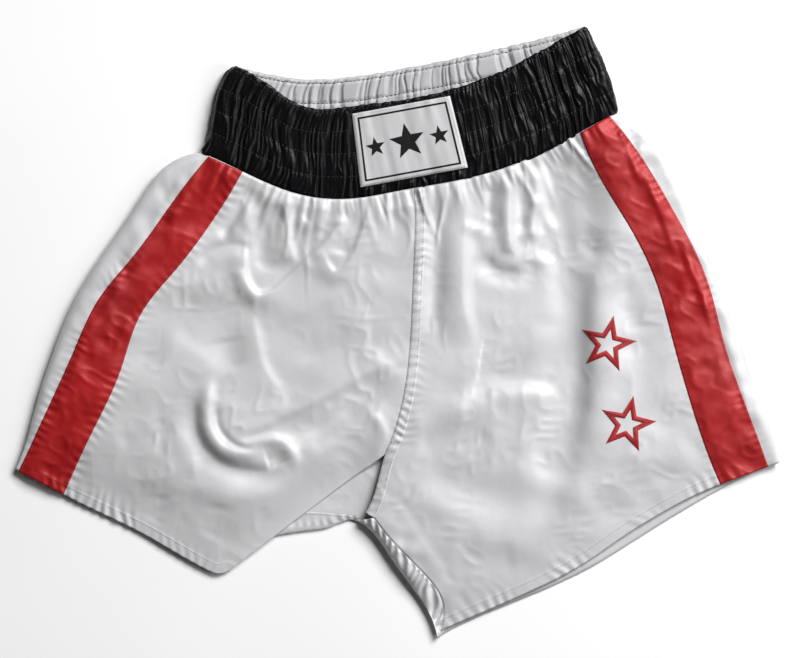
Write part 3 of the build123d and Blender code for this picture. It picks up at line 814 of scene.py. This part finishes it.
def build_back(name, side_lines, back_lines, inner_lines, mirrored):
    """A back panel: the strip that wraps round to the front, the sheet on the floor and the inner strip."""
    rows, inner_rows = 150, 160
    fold, side, wrap_top, wrap_hem = side_lines
    wrap = patch(fold, side, wrap_top, wrap_hem, fine_start(34, TURN, 8, 16), even(rows))
    strip = raised(wrap, front_height)
    middle_line, inner_fold, back_top, back_hem = back_lines
    inner_line = np.vstack([middle_line, inner_fold[1:]])
    base = patch(fold, inner_line, back_top, back_hem, fine_ends(380, TURN, 8, 44), even(rows))
    under = raised(base, back_height)
    if mirrored:
        outside = np.concatenate([strip[:, ::-1], under[:, 1:]], axis=1)
    else:
        outside = np.concatenate([under[:, ::-1], strip[:, 1:]], axis=1)
    inseam, height = inner_lines
    edge, over = resample(inner_fold, even(inner_rows)), resample(inseam, even(inner_rows))
    ends = np.stack([edge[0], over[0]]), np.stack([edge[-1], over[-1]])
    inner = raised(patch(edge, over, *ends, fine_start(14, 5, 5, 14), even(inner_rows)), height)
    return sheet_of(name, [outside, inner if mirrored else inner[:, ::-1]], WHITE_SATIN)


def inner_strip_height(points):
    """Height of the puckered strip along the inside of the left leg."""
    _, _, along = measure(points, left_inner_fold)
    distance = measure(points, left_inner_fold)[0]
    inseam = measure(points, left_inseam)[0]
    phase = along / 12 + distance / 16 + 0.8 * noise(along / 25, 0 * along, 44)
    rope = 1.6 * np.cos(2 * math.pi * phase) * np.clip(distance / 5, 0, 1) * np.clip(inseam / 3, 0, 1)
    return front_height(points) + rope


def line_between(a, b):
    """A straight line with its middle, so that it can be resampled."""
    return np.array([a, (np.asarray(a) + b) / 2, b], float)


def end_lines(a, b):
    """The lines that join two lines at their first points and at their last."""
    return line_between(a[0], b[0]), line_between(a[-1], b[-1])


front_right_cloth = build_front_right()
fell_grid, front_left_cloth = build_front_left()
back_right_cloth = build_back(
    "back_right_cloth",
    (right_fold, right_side, *end_lines(right_fold, right_side)),
    (back_rise, right_inner_fold, right_back_top, right_back_hem),
    (right_inseam, tucked_height),
    False,
)
back_left_cloth = build_back(
    "back_left_cloth",
    (left_fold, left_side, *end_lines(left_fold, left_side)),
    (back_rise, left_inner_fold, left_back_top[::-1], left_back_hem[::-1]),
    (left_inseam, inner_strip_height),
    True,
)


# ---------------------------------------------------------------- stripes


def stripe_fullness(points):
    """0 at a stripe's two edges and 1 in its middle."""
    edges = (right_side_edge_out, right_side_edge_in, left_side_edge_in, left_side_edge_out)
    return smooth(np.min([measure(points, edge)[0] for edge in edges], axis=0) / 12)


def stripe_height(points):
    """Height of a stripe's outer face."""
    points = np.asarray(points, float)
    x, y = points.T
    waves = 1.3 * noise((x + 0.6 * y) / 34, (y - 0.6 * x) / 17, 51) + 0.35 * noise(x / 9, y / 9, 52)
    creased = np.clip(1 - 2.4 * np.abs(noise((x - 0.5 * y) / 23, (y + 0.5 * x) / 15, 53)), 0, 1)
    return front_height(points) + 0.9 + stripe_fullness(points) * (1.5 + waves + 0.7 * creased)


def build_stripe(name, outer, inner):
    """A satin stripe that lies on the leg, with its two edges turned under."""
    across = np.concatenate([[0, 0.006, 0.02], np.linspace(0.05, 0.95, 26), [0.98, 0.994, 1]])
    plan = patch(outer, inner, *end_lines(outer, inner), across, even(230))
    grid = raised(plan, stripe_height)
    edge = np.minimum(across, 1 - across) * 50
    grid[:, :, 2] -= 0.75 * (1 - np.sqrt(np.clip(edge / 1.2, 0, 1)))[None, :]
    return sheet_of(name, [grid], RED_SATIN, PATCH_CLOTH)


right_stripe_cloth = build_stripe("right_stripe_cloth", right_side_edge_out, right_side_edge_in)
left_stripe_cloth = build_stripe("left_stripe_cloth", left_side_edge_in, left_side_edge_out)


# ---------------------------------------------------------------- waistband

BAND_ROWS, BAND_COLUMNS, END_COLUMNS = 64, 520, 14
CHANNEL_ROWS = (0.2375, 0.475, 0.7125, 0.95)
BAND_TURN = 8.0
RESTING = 0.5  # height at which the band's outer face lies on the floor


def band_section():
    """The waistband's loop, as a grid of points: rows up the band, columns once round it."""
    across = fine_ends(BAND_WIDTH, BAND_TURN, END_COLUMNS, BAND_COLUMNS)
    up = even(BAND_ROWS)
    front = patch(band_right_end[::-1], band_left_end[::-1], band_front_low, band_front_top, across, up)
    back = patch(band_right_end[::-1], band_left_end[::-1], band_back_low, band_back_top, across, up)
    clear = rounded(np.minimum(across, 1 - across) * BAND_WIDTH, BAND_TURN)[None, :, None]
    middle, low = (BAND_TOP + BACK_LEVEL) / 2, BACK_LEVEL + 1.2
    high = np.full(front.shape[:2] + (1,), BAND_TOP - 1.6)
    front = np.concatenate([front, middle + (high - middle) * clear], axis=2)
    back = np.concatenate([back, middle + (np.full_like(high, low) - middle) * clear], axis=2)
    return np.concatenate([front, back[:, ::-1][:, 1:-1]], axis=1)


def loop_normals(grid):
    """Outward normals of a grid whose columns go once round a loop."""
    round_it = np.roll(grid, -1, axis=1) - np.roll(grid, 1, axis=1)
    up = np.gradient(grid, axis=0)
    normal = np.cross(round_it, up)
    return normal / np.linalg.norm(normal, axis=2, keepdims=True)


def around_and_up(grid):
    """Distances in mm round the band and up it, for each point of its loop."""
    rows = grid.shape[0]
    middle = grid[rows // 2]
    step = np.linalg.norm(middle - np.roll(middle, 1, axis=0), axis=1)
    return np.cumsum(step)[None, :], even(rows)[:, None] * BAND_HEIGHT


def crinkles(grid, pitch, seed, height=62):
    """Fine irregular lines up the band: 0 on a line, and higher between lines."""
    around, up = around_and_up(grid)
    warp = 1.5 * noise(around / 19, up / 31, seed) + 0.8 * noise(around / 7, up / 13, seed + 1)
    first = np.abs(noise((around + 2.3 * warp) / pitch, up / height + 0 * around, seed + 2))
    second = np.abs(noise((around + warp) / (0.5 * pitch), up / (0.45 * height) + 0 * around, seed + 3))
    return 2 * (0.7 * first + 0.3 * second)


def channel_shape(rows, depth):
    """Fullness of each elastic channel up the band, with a groove at each row of stitching."""
    up = even(rows)
    groove = np.zeros(rows)
    for row in CHANNEL_ROWS:
        groove = np.maximum(groove, np.exp(-(((up - row) * BAND_HEIGHT / 1.3) ** 2)))
    edge = np.minimum(up, 1 - up) * BAND_HEIGHT
    return (1 - depth * groove) * np.sqrt(np.clip(edge / 2.5, 0, 1))


def pressed(grid):
    """1 where the label presses on the band, and 0 clear of it."""
    front = grid[..., 2] > (BAND_TOP + BACK_LEVEL) / 2
    return smooth(inside(grid[..., :2], label_corners) / 6 + 1) * front


def build_band():
    """The loop that the band is built on, and the shell and the lining, each an offset of it."""
    base = band_section()
    normal = loop_normals(base)
    rows = base.shape[0]
    around, up_by = around_and_up(base)
    edges = smooth(up_by / 12 - 7.3) + smooth(1 - up_by / 9)
    rise_by = np.gradient(base, axis=0)
    rise_by /= np.linalg.norm(rise_by, axis=2, keepdims=True)
    base = base + rise_by * (0.8 * edges * noise(around / 3.7, 0 * up_by + 3.3, 65))[..., None]
    outer = np.clip(1 - crinkles(base, 4.8, 61, 58), -0.3, 1) * (1 - 0.75 * pressed(base))
    shell = base + normal * (0.9 + channel_shape(rows, 0.18)[:, None] * (0.4 + 2.2 * outer))[..., None]
    shell[..., 2] = np.maximum(shell[..., 2], RESTING)
    inner = np.clip(crinkles(base, 8.0, 71, 90), 0, 1)
    lining = base - normal * (0.7 + channel_shape(rows, 0.75)[:, None] * 4.2 * inner)[..., None]
    up, down = base[-1] - base[-2], base[0] - base[1]
    up /= np.linalg.norm(up, axis=1)[:, None]
    down /= np.linalg.norm(down, axis=1)[:, None]
    rim = (shell[-1] + lining[-1]) / 2
    under = shell[0] + down * 1.8 - normal[0] * 1.5
    under[..., 2] = np.maximum(under[..., 2], RESTING)
    skirt = [under, shell[0] + down * 1.5 - normal[0] * 0.5]
    shell = np.concatenate([skirt, shell, [0.6 * shell[-1] + 0.4 * rim + 0.8 * up, rim + 0.9 * up]])
    lining = np.concatenate([lining, [0.6 * lining[-1] + 0.4 * rim + 0.7 * up]])
    return base, shell, lining


def loop_object(name, grid, material, inward=False, thickness=CLOTH, offset=-1):
    """A cloth object from a grid whose columns go once round."""
    rows, columns = grid.shape[:2]
    faces = grid_faces(rows, columns, wrap=True)
    faces = faces if inward else [face[::-1] for face in faces]
    made = make_object(name, grid.reshape(-1, 3), faces, material)
    add_thickness(made, thickness, offset)
    return made


band_base, shell_grid, lining_grid = build_band()
waistband_shell = loop_object("waistband_shell_cloth", shell_grid, BLACK_SATIN)
waistband_lining = loop_object("waistband_lining_cloth", lining_grid, LINING_SATIN, inward=True)


def build_tape(number):
    """One elastic tape, inside its channel."""
    low, high = CHANNEL_ROWS[number] - 0.2175, CHANNEL_ROWS[number] - 0.02
    rows = np.linspace(low, high, 9) * (BAND_ROWS - 1)
    k = np.floor(rows).astype(int)
    share = (rows - k)[:, None, None]
    grid = band_base[k] * (1 - share) + band_base[k + 1] * share
    return loop_object(f"elastic_tape_{number + 1}", grid[:, ::2], ELASTIC, thickness=TAPE_CLOTH, offset=0)


elastic_tapes = [build_tape(number) for number in range(4)]
FRONT_COLUMNS = BAND_COLUMNS + 2 * END_COLUMNS - 2
SHELL_FIRST = 2  # rows of the shell below the band's own first row


def band_rows_front():
    """The four rows of stitching on the band's front."""
    return [shell_grid[SHELL_FIRST + round(s * (BAND_ROWS - 1)), :FRONT_COLUMNS] for s in CHANNEL_ROWS]


def band_rows_back():
    """The four rows on the band's back: on the outside below, and on the lining above."""
    rows = []
    for s in CHANNEL_ROWS:
        k = round(s * (BAND_ROWS - 1))
        rows.append(shell_grid[SHELL_FIRST + k, FRONT_COLUMNS:] - (0, 0, 0.2))
        rows.append(lining_grid[k, FRONT_COLUMNS:] + (0, 0, 0.3))
    return rows


# ---------------------------------------------------------------- label, stars and stitching


def label_height(points):
    """Height of the label's outer face, over the ruched band."""
    x, y = np.asarray(points, float).T
    along, across = x * 0.97 + y * 0.24, y * 0.97 - x * 0.24
    return LABEL_LEVEL + 1.0 * noise(along / 15, across / 70, 81) + 0.45 * noise(along / 7, across / 45, 82)


def build_label():
    """The woven label, laid over the band."""
    a, b, c, d = order_corners(label_corners)
    columns, rows = 90, 66
    plan = patch(line_between(a, d), line_between(b, c), line_between(a, b), line_between(d, c),
                 even(columns), even(rows))
    grid = raised(plan, label_height)
    u, v = even(columns)[None, :], even(rows)[:, None]
    edge = np.minimum(np.minimum(u, 1 - u) * LABEL_WIDTH, np.minimum(v, 1 - v) * LABEL_HEIGHT)
    grid[:, :, 2] -= 0.9 * (1 - smooth(edge / 3.5))
    return sheet_of("label_cloth", [grid], LABEL_CLOTH, PATCH_CLOTH)


def order_corners(corners):
    """Four corners in the order upper left, upper right, lower right, lower left."""
    middle = corners.mean(0)
    angle = np.arctan2(corners[:, 1] - middle[1], corners[:, 0] - middle[0])
    ordered = corners[np.argsort(angle)]
    right_low, right_high, left_high, left_low = ordered[np.argsort(np.sort((angle + 1.2) % 6.2832))]
    return left_high, right_high, right_low, left_low


def plate(name, loops, height, material, dome=0.25):
    """Raised filled shapes that follow a surface, one for each star-shaped loop."""
    points, faces = [], []
    for loop in loops:
        outline = resample(np.vstack([loop, loop[:1]]), even(121))[:-1]
        middle = outline.mean(0)
        first = len(points)
        shares = (1.0, 0.985, 0.93, 0.8, 0.6, 0.4, 0.2, 0.02)
        for k, share in enumerate(shares):
            ring = middle + (outline - middle) * share
            lift = -0.3 if k == 0 else dome * math.sqrt(1 - share**2)
            points += np.column_stack([ring, height(ring) + lift]).tolist()
        count = len(outline)
        for k in range(len(shares) - 1):
            for i in range(count):
                step = (i + 1) % count
                low, high = first + k * count, first + (k + 1) * count
                faces.append((low + i, low + step, high + step, high + i))
        faces.append(tuple(range(first + (len(shares) - 1) * count, first + len(shares) * count)))
    return make_object(name, points, faces, material)


def sides_between(outer, inner):
    """The four edges of each side of a frame, between two outlines with the same corners."""
    for a, b, c, d in zip(outer, np.roll(outer, -1, axis=0), inner, np.roll(inner, -1, axis=0)):
        yield line_between(a, b), line_between(c, d), line_between(a, c), line_between(b, d)


def frame_strip(name, outer, inner, height, material):
    """A raised strip between two outlines with the same corners."""
    across = even(6)
    grids = []
    for edges in sides_between(outer, inner):
        grid = raised(patch(*edges, across, even(60)), height)
        grid[:, :, 2] += 0.12 + 0.1 * np.sin(math.pi * across)[None, :]
        grids.append(grid)
    return sheet_of(name, grids, material, 0.2, 0.01)


def matched(loop, other):
    """The corners of a loop in the order of another's."""
    if np.sign(area_of(loop)) != np.sign(area_of(other)):
        loop = loop[::-1]
    return np.roll(loop, -int(np.argmin(np.linalg.norm(loop - other[0], axis=1))), axis=0)


def area_of(loop):
    """Signed area of a loop."""
    x, y = loop.T
    return 0.5 * float(np.sum(x * np.roll(y, -1) - y * np.roll(x, -1)))


def build_star(name, node):
    """An embroidered star outline: ten domed columns of satin stitch."""
    loops = top_loops(node)
    outer = corners_of(loops[0])
    inner = matched(corners_of(loops[1]), outer)
    across = (1 - np.cos(math.pi * even(13))) / 2
    dome = np.sqrt(np.clip(1 - np.abs(2 * across - 1) ** 2, 0, 1))[None, :]
    grids = []
    for edges in sides_between(outer, inner):
        size = np.linalg.norm(edges[0][-1] - edges[0][0])
        down = even(int(size / STAR_GRID))
        grid = raised(patch(*edges, across, down), front_height)
        strands = 0.11 * np.cos(2 * math.pi * down * size / STRAND_PITCH)[:, None]
        grid[:, :, 2] += 0.1 + (1.25 + strands) * dome
        grids.append(grid)
    return sheet_of(name, grids, RED_THREAD, 0.25, 0.0)


def lifted(line, height, lift=0.15, step=1.5):
    """A line in the plan laid on a surface."""
    line = resample(line, even(max(3, int(length(line) / step))))
    return np.column_stack([line, height(line) + lift])


def below(line):
    """A line in the plan laid on the underside of the back."""
    line = resample(line, even(max(3, int(length(line) / 1.5))))
    return np.column_stack([line, np.maximum(back_height(line) - CLOTH - 0.15, 0.2)])


waist_label = build_label()
border_loops = [corners_of(loop) for loop in top_loops("label_border")]
label_border = frame_strip("label_frame", border_loops[0], matched(border_loops[1], border_loops[0]),
                           label_height, LABEL_BLACK)
label_emblem = plate("label_stars", top_loops("label_emblem"), label_height, LABEL_BLACK)
upper_star = build_star("upper_star", "upper_leg_motif")
lower_star = build_star("lower_star", "lower_leg_motif")

label_middle = label_corners.mean(0)
label_row = label_middle + (np.vstack([label_corners, label_corners[:1]]) - label_middle) * 0.955
label_seam = stitches("label_seam", [lifted(label_row, label_height, 0.1)], WHITE_THREAD, 3.0, 2.1, 0.22)
right_stripe_rows = [
    lifted(moved(right_side_edge_out, 2), stripe_height),
    lifted(moved(right_side_edge_in, -2), stripe_height),
    lifted(moved(end_lines(right_side_edge_out, right_side_edge_in)[1], HEM_STITCH), stripe_height),
]
left_stripe_rows = [
    lifted(moved(left_side_edge_in, 2), stripe_height),
    lifted(moved(left_side_edge_out, -2), stripe_height),
    lifted(moved(end_lines(left_side_edge_in, left_side_edge_out)[1], HEM_STITCH), stripe_height),
]
right_stripe_seam = stitches("right_stripe_seam", right_stripe_rows, RED_THREAD, *STRIPE_THREAD)
left_stripe_seam = stitches("left_stripe_seam", left_stripe_rows, RED_THREAD, *STRIPE_THREAD)
right_hem_seam = stitches(
    "right_hem_seam",
    [
        lifted(moved(right_front_hem, HEM_STITCH), front_height),
        below(moved(right_back_hem, HEM_STITCH)),
    ],
    WHITE_THREAD, *SEAM_THREAD,
)
left_hem_seam = stitches(
    "left_hem_seam",
    [
        lifted(moved(left_front_hem, HEM_STITCH), front_height),
        below(moved(left_back_hem, HEM_STITCH)),
    ],
    WHITE_THREAD, *SEAM_THREAD,
)
rise_seam = stitches("rise_seam", [fell_grid[:, 2] + (0, 0, 0.1), fell_grid[:, -3] + (0, 0, 0.1)],
                     WHITE_THREAD, *SEAM_THREAD)
back_rise_seam = stitches("back_rise_seam", [below(moved(back_rise, 4)), below(moved(back_rise, -4))],
                          WHITE_THREAD, *SEAM_THREAD)
right_inseam_seam = stitches("right_inseam_seam", [lifted(moved(right_inseam, 2.2), tucked_height)],
                             WHITE_THREAD, *SEAM_THREAD)
left_inseam_seam = stitches("left_inseam_seam", [lifted(moved(left_inseam, 2.2), front_height)],
                            WHITE_THREAD, *SEAM_THREAD)
band_front_seam = stitches("band_front_seam", band_rows_front(), BLACK_THREAD, 4.6, 2.9, 0.26)
band_back_seam = stitches("band_back_seam", band_rows_back(), BLACK_THREAD, 4.6, 3.0, 0.42)


# ---------------------------------------------------------------- light, floor and camera


def area_light(name, place, target, size, power, colour=(1, 1, 1)):
    """A square soft light."""
    data = bpy.data.lights.new(name, "AREA")
    data.shape = "RECTANGLE"
    data.size, data.size_y = size
    data.energy = power
    data.color = colour
    light = bpy.data.objects.new(name, data)
    light.location = place
    direction = np.array(target, float) - place
    pitch = math.acos(-direction[2] / np.linalg.norm(direction))
    light.rotation_euler = (pitch, 0, math.atan2(direction[1], direction[0]) - math.pi / 2)
    bpy.context.scene.collection.objects.link(light)
    return light


def build_stage():
    """Pale floor, soft lights and a camera looking straight down."""
    bpy.ops.mesh.primitive_grid_add(x_subdivisions=4, y_subdivisions=4, size=8)
    floor = bpy.context.object
    floor.name = "floor"
    nodes = Nodes("floor_paper")
    tint = nodes.ramp(nodes.noise(3.0), [(0.3, (0.95, 0.95, 0.95)), (0.7, (0.98, 0.98, 0.98))])
    floor.data.materials.append(nodes.finish(tint, 0.9))
    world = bpy.data.worlds.new("studio")
    world.use_nodes = True
    tree = world.node_tree
    axes = tree.nodes.new("ShaderNodeSeparateXYZ")
    tree.links.new(tree.nodes.new("ShaderNodeTexCoord").outputs["Generated"], axes.inputs[0])
    strength = tree.nodes["Background"].inputs["Strength"]
    for axis, low, high in (("Y", -0.2, 0.2), ("Z", 1.3, 0.42)):
        slant = tree.nodes.new("ShaderNodeMapRange")
        slant.inputs["From Min"].default_value = -1.0 if axis == "Y" else 0.0
        slant.inputs["To Min"].default_value = low
        slant.inputs["To Max"].default_value = high
        tree.links.new(axes.outputs[axis], slant.inputs["Value"])
        if axis == "Y":
            part = slant.outputs["Result"]
    total = tree.nodes.new("ShaderNodeMath")
    tree.links.new(part, total.inputs[0])
    tree.links.new(slant.outputs["Result"], total.inputs[1])
    tree.links.new(total.outputs[0], strength)
    bpy.context.scene.world = world
    area_light("key", (2.6, 3.0, 3.6), (0, 0, 0), (3.3, 2.6), 415)
    area_light("side", (2.9, -0.5, 2.2), (0, 0, 0), (1.6, 1.6), 30)
    data = bpy.data.cameras.new("camera")
    camera = bpy.data.objects.new("camera", data)
    camera.location = (0.003, 0.003, CAMERA_HEIGHT)
    data.sensor_width = 36
    data.lens = data.sensor_width * (CAMERA_HEIGHT - FRONT_LEVEL * MM) / VIEW_WIDTH
    data.clip_end = 20
    bpy.context.scene.collection.objects.link(camera)
    bpy.context.scene.camera = camera
    bpy.context.scene.view_settings.view_transform = "Standard"


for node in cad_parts.values():
    node.data.materials.clear()
    node.data.materials.append(WHITE_THREAD)

# The CAD node that each piece stands for, slot by slot.
PIECES = {
    "white_satin": {
        "front_right_panel": front_right_cloth,
        "front_left_panel": front_left_cloth,
        "back_right_panel": back_right_cloth,
        "back_left_panel": back_left_cloth,
    },
    "red_satin": {
        "right_side_stripe": right_stripe_cloth,
        "left_side_stripe": left_stripe_cloth,
    },
    "black_satin": {
        "waistband_shell": waistband_shell,
    },
    "white_lining": {
        "waistband_lining": waistband_lining,
    },
    "elastic": {f"waist_elastic_{k + 1}": tape for k, tape in enumerate(elastic_tapes)},
    "label_cloth": {
        "waist_label": waist_label,
    },
    "label_print": {
        "label_border": label_border,
        "label_emblem": label_emblem,
    },
    "white_thread": {
        "label_stitching": label_seam,
        "right_hem_stitching": right_hem_seam,
        "left_hem_stitching": left_hem_seam,
        "front_rise_stitching": rise_seam,
        "back_rise_stitching": back_rise_seam,
        "right_inseam_stitching": right_inseam_seam,
        "left_inseam_stitching": left_inseam_seam,
    },
    "red_thread": {
        "upper_leg_motif": upper_star,
        "lower_leg_motif": lower_star,
        "right_stripe_stitching": right_stripe_seam,
        "left_stripe_stitching": left_stripe_seam,
    },
    "black_thread": {
        "waistband_front_stitching": band_front_seam,
        "waistband_back_stitching": band_back_seam,
    },
}
# Each piece is attached to the root body, and the CAD node it stands for is hidden.
for slot, pieces in PIECES.items():
    for node, made in pieces.items():
        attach(made, "root")
        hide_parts(node)

build_stage()
